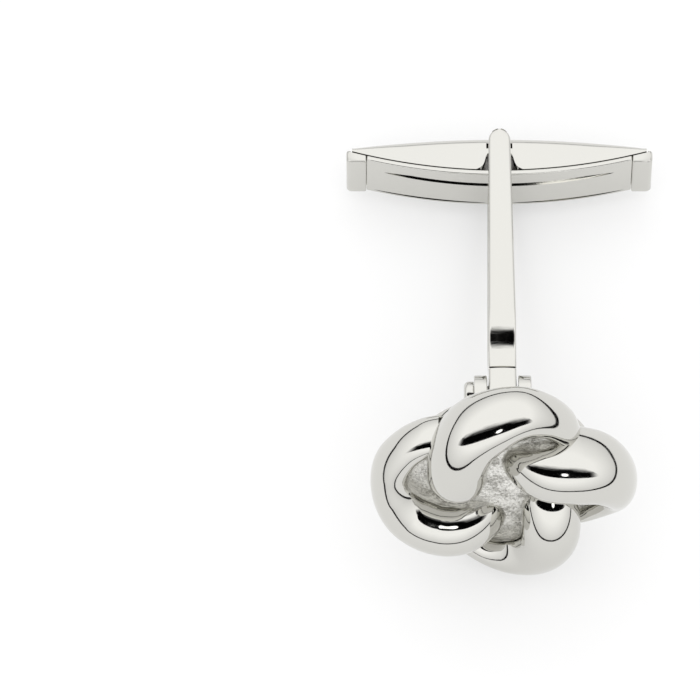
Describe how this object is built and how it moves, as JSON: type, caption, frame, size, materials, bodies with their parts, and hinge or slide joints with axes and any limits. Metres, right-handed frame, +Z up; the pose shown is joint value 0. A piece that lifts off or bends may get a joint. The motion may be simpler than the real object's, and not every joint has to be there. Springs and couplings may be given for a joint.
{
  "type": "cufflink",
  "caption": "Knot cufflink: pinwheel knot face on a hinged strap post with a swivelling sprung toggle bar that locks behind a double cuff.",
  "frame": {"origin": "centre of the footprint, on the table that the cufflink lies on", "axes": "+Y from the knot towards the toggle, +X along the toggle bar, +Z up; the post leans down towards the toggle because the link lies on a knot strand and the post's tip"},
  "size_m": [0.018, 0.027, 0.0149],
  "materials": {
    "polished_silver": "mirror-polished sterling silver",
    "cast_silver": "matte granular cast silver in the sunk ground of the knot",
    "spring_steel": "plain rolled spring strip"
  },
  "bodies": {
    "knot": {"strand_top": "polished_silver", "strand_right": "polished_silver", "strand_bottom": "polished_silver", "strand_left": "polished_silver", "knot_core": "cast_silver", "back_plate": "polished_silver", "hinge_bracket": "polished_silver", "hinge_pin": "polished_silver"},
    "post": {"post_strap": "polished_silver", "toggle_pin": "polished_silver"},
    "toggle": {"toggle_shell": "polished_silver", "toggle_face": "polished_silver", "toggle_end_left": "polished_silver", "toggle_end_right": "polished_silver", "leaf_spring": "spring_steel"}
  },
  "joints": [
    {"name": "post_hinge", "type": "hinge", "parent": "knot", "child": "post", "pos_m": [0, -0.00385, 0.00612], "axis": [1, 0, 0], "range_deg": [-90, 90]},
    {"name": "toggle_swivel", "type": "hinge", "parent": "post", "child": "toggle", "pos_m": [0, 0.01164, 0.00253], "axis": [0, 0.2259, 0.9742], "range_deg": [-90, 90]}
  ]
}
